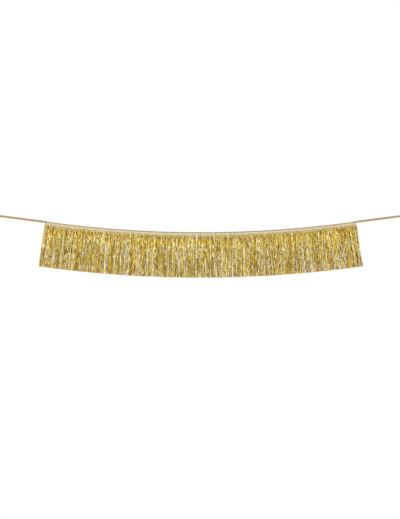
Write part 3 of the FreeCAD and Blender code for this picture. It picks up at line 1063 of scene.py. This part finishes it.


# %% The foil's tones, from painted shade for a facet in shadow to a painted highlight for one that faces the light
TONE_AT = [0.0, 0.3, 0.57, 0.83, 1.0]
TONES = np.array(
    [
        [0.46, 0.295, 0.02],
        [0.68, 0.475, 0.06],
        [0.86, 0.68, 0.22],
        [0.96, 0.88, 0.66],
        [0.99, 0.94, 0.82],
    ]
)
# A ring's tone picks its colour on this scale, so the differences in tone are painted light and shade.
TONE_MIDDLE = 0.47
TONE_SHARED = 0.05  # neighbours differ together by this much
TONE_OF_STRAND = 0.12
TONE_OF_FACET = 0.18
STREAK_SHARE = 0.12  # this share of the strands is a bright streak, a painted highlight, and as many are a dark one, painted shade
STREAK_BRIGHTER, STREAK_DARKER = 0.45, 0.35
LOWEST_STREAK_START = 0.15  # a streak starts at any depth down to here
STREAK_FADE = 30 * MM
# Near the heading the tone drops and is mixed with a dull dark khaki: painted shade under the heading.
TONE_DROP_AT_HEADING = 0.3
TONE_SPREAD_AT_HEADING = 0.25
HEADING_SHADE_TONE = np.array([0.42, 0.355, 0.20, 1.0])  # painted shade under the heading, a dull dark khaki
SHADED_BELOW_HEADING = 45 * MM


def tone_colour(tone):
    """The foil's colour for a tone from 0 to 1, read between the named tones."""
    channels = [np.interp(tone, TONE_AT, TONES[:, c]) for c in range(3)]
    return np.stack([*channels, np.ones_like(tone)], axis=-1)


def ring_colours(side, ply, world_along, depth, random):
    """The colour of every ring, on a scale from painted shade to painted highlight. In words: a middle tone,
    plus a part shared by neighbours, a part for the strand and a part for the ring, plus a bright streak
    (painted highlight) on a few strands and a dark one (painted shade) on as many, from some depth down,
    then darker at the heading as painted shade and mixed there with the painted shade tone."""
    tone = TONE_MIDDLE + TONE_SHARED * shared(TONE_HILLS, ply, world_along, depth, side)
    tone = tone + random.normal(0, TONE_OF_STRAND, (STRANDS, 1))
    tone = tone + random.normal(0, TONE_OF_FACET, (STRANDS, RINGS))
    # Painted streaks: a painted highlight on some strands and painted shade on as many.
    streak_start = random.uniform(0, LOWEST_STREAK_START, (STRANDS, 1))
    pick = random.random((STRANDS, 1))
    streak = STREAK_BRIGHTER * (pick < STREAK_SHARE) - STREAK_DARKER * (pick > 1 - STREAK_SHARE)
    tone = tone + streak * ease((depth - streak_start) / STREAK_FADE)
    # Painted shade near the heading.
    drop = TONE_DROP_AT_HEADING + random.normal(0, TONE_SPREAD_AT_HEADING, (STRANDS, 1))
    tone = tone - drop * (1 - below_heading(depth, SPREAD_BELOW_HEADING))
    heading_shade = random.uniform(0.35, 0.9, (STRANDS, 1, 1))
    heading_shade = heading_shade * (1 - below_heading(depth, SHADED_BELOW_HEADING))[..., None]
    return tone_colour(np.clip(tone, 0, 1)) * (1 - heading_shade) + HEADING_SHADE_TONE * heading_shade


# %% One layer of strands
LAYER_NARROWING = 0.06  # strands curl in a little along their edges towards the foot


def strand_layer(hank, out, seed):
    """The three plies of strands on one side of a hank. In words: each ring is two edge points, half a
    width each way along its turn, and a crease point behind them, set out from the hinge along the
    garland, out of its plane and down."""
    random = np.random.default_rng(seed)
    swing = swings[hank]
    hinge = np.array(swing["pos_m"])
    tangent = np.array(swing["axis"], float)
    down = np.array([tangent[2], 0.0, -tangent[0]])
    side = 0 if out < 0 else 1
    ply = np.repeat(np.arange(PLIES), STRANDS_IN_PLY)[:, None]
    place = np.tile(np.arange(STRANDS_IN_PLY), PLIES)[:, None]
    start = ((place + 0.5 + PLY_SHIFT[side][ply]) / STRANDS_IN_PLY - 0.5) * hank_width
    world_along = math.asin(tangent[2]) * TOP_RADIUS + start
    share, depth = ring_depths(random)
    sideways, outward = ring_middles(hank, side, ply, place, start, world_along, depth, seed, random)
    turn = ring_turns(side, ply, world_along, depth, share, random)
    half = STRAND_WIDTH / 2 * (1 - LAYER_NARROWING * ease((depth - 60 * MM) / (200 * MM)))
    edge = np.stack([np.cos(turn) * half, np.sin(turn) * half], axis=-1)
    behind = np.stack([-np.sin(turn), np.cos(turn)], axis=-1) * CREASE
    section = np.stack([edge, behind, -edge], axis=2)
    across = sideways[..., None] + section[..., 0]
    outwards = out * outward[..., None] + section[..., 1]
    lower = (depth - HINGE_DEPTH)[..., None] + 0 * across
    rings = hinge + across[..., None] * tangent + lower[..., None] * down
    rings = rings + outwards[..., None] * BACKWARD
    strip = (depth / MM)[..., None] + random.uniform(0, 900, (STRANDS, 1, 1))
    wide = np.array([0.0, 1.6, 3.2, 6.3]) + 11.0 * np.arange(STRANDS)[:, None, None]
    places = together(strip, wide)
    colours = ring_colours(side, ply, world_along, depth, random)
    tones = np.repeat(colours.reshape(-1, 1, 4), 3, axis=1).reshape(-1, 4)
    return tubes(rings, places), tones, hinge, down


# %% All the hanks
for number, hank in enumerate(hank_names, start=1):
    for name, out in FACES:
        part, tones, hinge, down = strand_layer(hank, out, 1000 + 10 * number + out)
        piece = make_piece(f"{name}_foil_{number:02d}", [part], foil_strand, tones)
        shade_flat(piece)
        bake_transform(piece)
        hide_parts(f"{name}_strands_{number:02d}")

# %% [markdown]
# ## The floor
# A pale round floor, a thin disc with a softened edge, lies well below the garland, as in a room.

# %% Floor
FLOOR_DROP = 2.0
FLOOR_RADIUS = 1.9
turn = np.linspace(0, 2 * np.pi, 96, endpoint=False)
rim_radius = np.array([FLOOR_RADIUS, FLOOR_RADIUS + 0.01, FLOOR_RADIUS])[:, None]
rim_height = np.array([0.0, -0.01, -0.02])[:, None]
rim_x = aim[0] + rim_radius * np.cos(turn)
rim_y = aim[1] + rim_radius * np.sin(turn)
rings = together(rim_x, rim_y, aim[2] - FLOOR_DROP + rim_height)
places = np.zeros((1, 3, 97, 2))
floor_paint = bpy.data.materials.new("floor paint")
floor_paint.use_nodes = True
paint = floor_paint.node_tree.nodes["Principled BSDF"].inputs
paint["Base Color"].default_value = (0.82, 0.82, 0.81, 1)
paint["Roughness"].default_value = 0.8
floor = make_piece("floor", [tubes(rings[None], places)], floor_paint)
